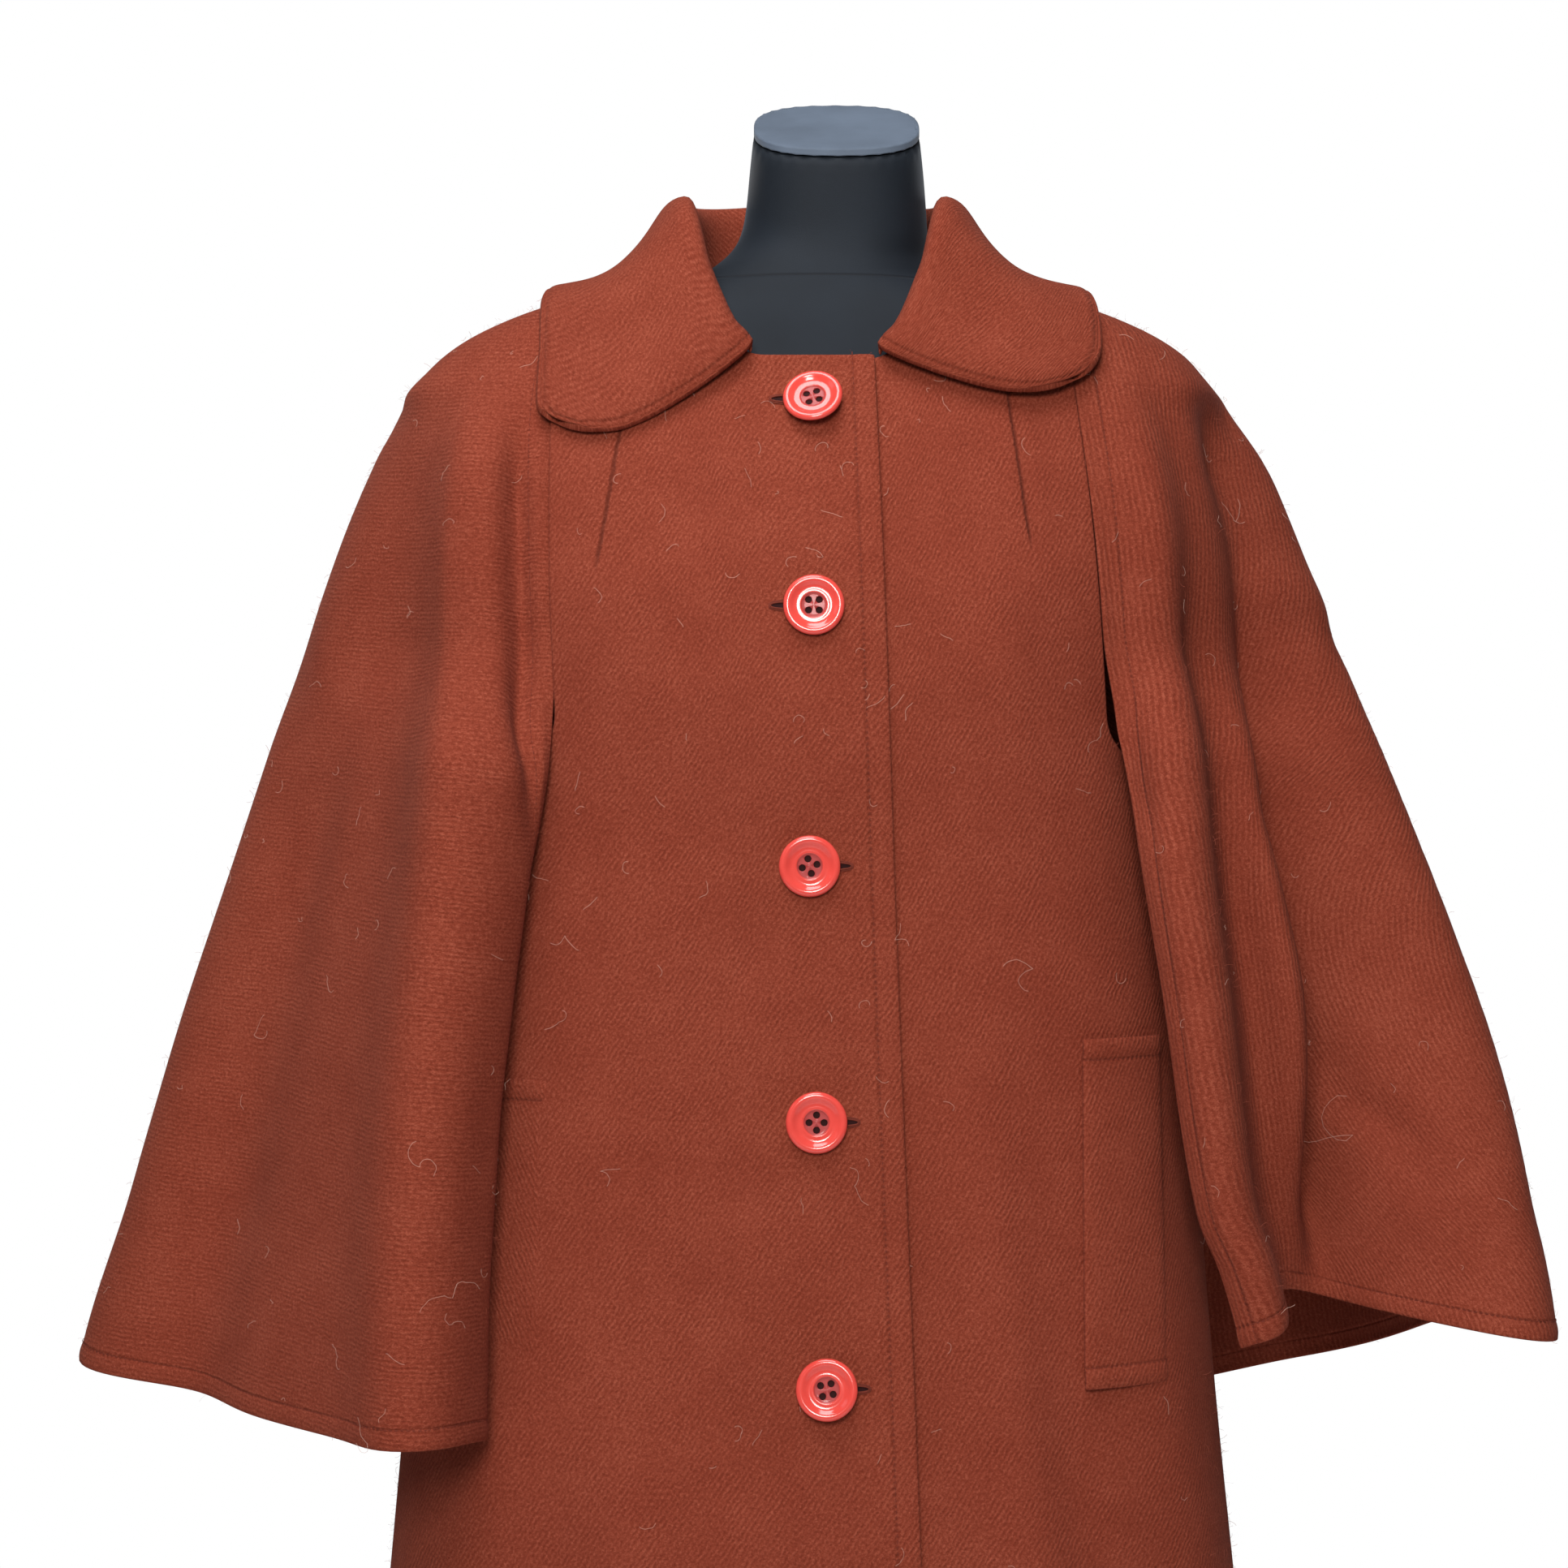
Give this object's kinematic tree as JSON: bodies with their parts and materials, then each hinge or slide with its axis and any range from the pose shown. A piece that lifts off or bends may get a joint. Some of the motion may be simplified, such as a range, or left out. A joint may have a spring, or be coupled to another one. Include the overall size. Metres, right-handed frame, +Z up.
{
  "type": "cape coat on a dress form",
  "caption": "Knee-length wool cape coat with a rounded collar, round buttons and welt pockets, worn by a plain dress form on a pole and round base.",
  "frame": {"origin": "centre of the base's underside, on the floor", "axes": "+Z up along the pole, -Y towards the front of the coat, +X towards the wearer's left"},
  "size_m": [0.9104, 0.4468, 1.5276],
  "materials": {
    "front_right": "felted wool twill",
    "front_left": "felted wool twill",
    "back": "felted wool twill",
    "cape_right": "felted wool twill",
    "cape_left": "felted wool twill",
    "collar": "felted wool twill",
    "welt_right": "felted wool twill",
    "welt_left": "felted wool twill",
    "button_1": "glossy rim, matte middle",
    "button_2": "glossy rim, matte middle",
    "button_3": "glossy rim, matte middle",
    "button_4": "glossy rim, matte middle",
    "button_5": "glossy rim, matte middle",
    "form_body": "stretch cover over a firm form",
    "form_cap": "stretch cover over a firm form",
    "form_pole": "satin",
    "form_base": "satin"
  },
  "bodies": {
    "root": {"front_right": "front_right", "front_left": "front_left", "back": "back", "cape_right": "cape_right", "cape_left": "cape_left", "collar": "collar", "welt_right": "welt_right", "welt_left": "welt_left", "button_1": "button_1", "button_2": "button_2", "button_3": "button_3", "button_4": "button_4", "button_5": "button_5", "form_body": "form_body", "form_cap": "form_cap", "form_pole": "form_pole", "form_base": "form_base"}
  },
  "joints": []
}
